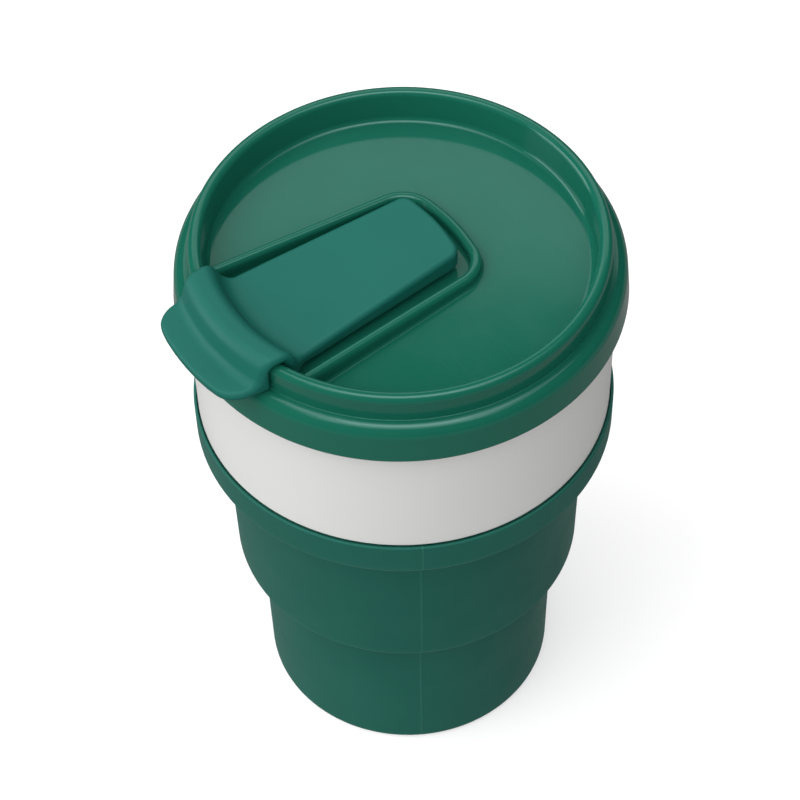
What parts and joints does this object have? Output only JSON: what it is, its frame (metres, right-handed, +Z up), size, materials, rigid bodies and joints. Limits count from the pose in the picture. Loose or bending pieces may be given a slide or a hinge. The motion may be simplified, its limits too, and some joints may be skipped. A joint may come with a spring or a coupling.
{
  "type": "collapsible travel cup",
  "caption": "Silicone cup that folds flat, with a rigid grip band, a screw lid and a soft flap that plugs its sip hole.",
  "frame": {"origin": "centre of the flat base, on the surface that the cup stands on", "axes": "+Z up along the cup's axis, -Y towards the flap's tab, +X across the flap"},
  "size_m": [0.0938, 0.0993, 0.1389],
  "materials": {
    "silicone_body": "matte",
    "flap_silicone": "matte",
    "seal_silicone": "matte",
    "lid_plastic": "gloss",
    "band_plastic": "satin",
    "neck_plastic": "satin"
  },
  "bodies": {
    "base": {"lower_tier": "silicone_body"},
    "middle": {"middle_tier": "silicone_body"},
    "upper": {"upper_tier": "silicone_body", "grip_band": "band_plastic", "neck_collar": "neck_plastic"},
    "seal": {"lid_seal": "seal_silicone"},
    "lid": {"lid_shell": "lid_plastic", "flap_anchor": "flap_silicone"},
    "flap": {"sip_flap": "flap_silicone"}
  },
  "joints": [
    {"name": "upper_collapse", "type": "slide", "parent": "base", "child": "upper", "axis": [0, 0, -1], "range_m": [0, 0.076]},
    {"name": "middle_follow", "type": "slide", "parent": "base", "child": "middle", "axis": [0, 0, -1], "range_m": [0, 0.038]},
    {"name": "lid_lift", "type": "slide", "parent": "upper", "child": "seal", "axis": [0, 0, 1], "range_m": [0, 0.024]},
    {"name": "lid_turn", "type": "hinge", "parent": "seal", "child": "lid", "pos_m": [0, 0, 0.125], "axis": [0, 0, 1], "range_deg": [0, 360]},
    {"name": "flap_open", "type": "hinge", "parent": "lid", "child": "flap", "pos_m": [0, 0.00185, 0.13505], "axis": [-1, 0, 0], "range_deg": [0, 150]}
  ],
  "couplings": [
    {"joint": "middle_follow", "follows": "upper_collapse", "ratio": 0.5},
    {"joint": "lid_lift", "follows": "lid_turn", "m_per_rad": 0.0038197}
  ]
}
